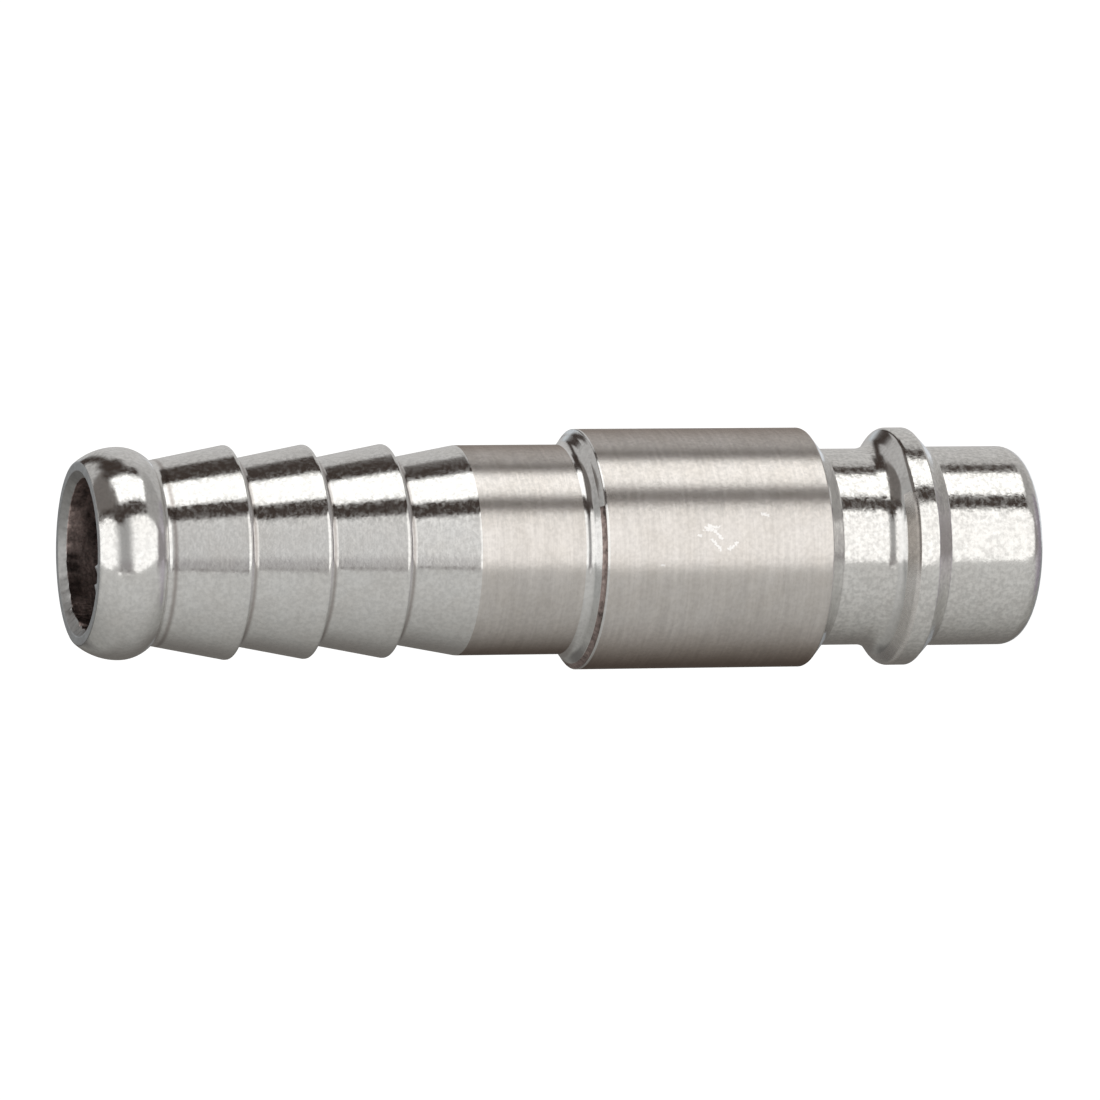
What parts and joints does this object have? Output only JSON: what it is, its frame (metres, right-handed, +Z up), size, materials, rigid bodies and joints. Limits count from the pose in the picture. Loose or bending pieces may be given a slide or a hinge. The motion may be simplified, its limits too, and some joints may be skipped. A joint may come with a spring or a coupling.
{
  "type": "hose tail",
  "caption": "Barbed hose tail with a collared plug nose for a quick-release coupling, turned in one piece with a straight through bore.",
  "frame": {"origin": "centre of the nose end face, on the surface that it stands on", "axes": "+Z up along the bore, from the nose to the hose end; the part is round, so X and Y are free"},
  "size_m": [0.012, 0.012, 0.049],
  "materials": {
    "steel": "bright plated steel: polished bead and barbs, fine turned land and shank, satin groove, collar and nose"
  },
  "bodies": {
    "root": {"hose_tail": "steel"}
  },
  "joints": []
}
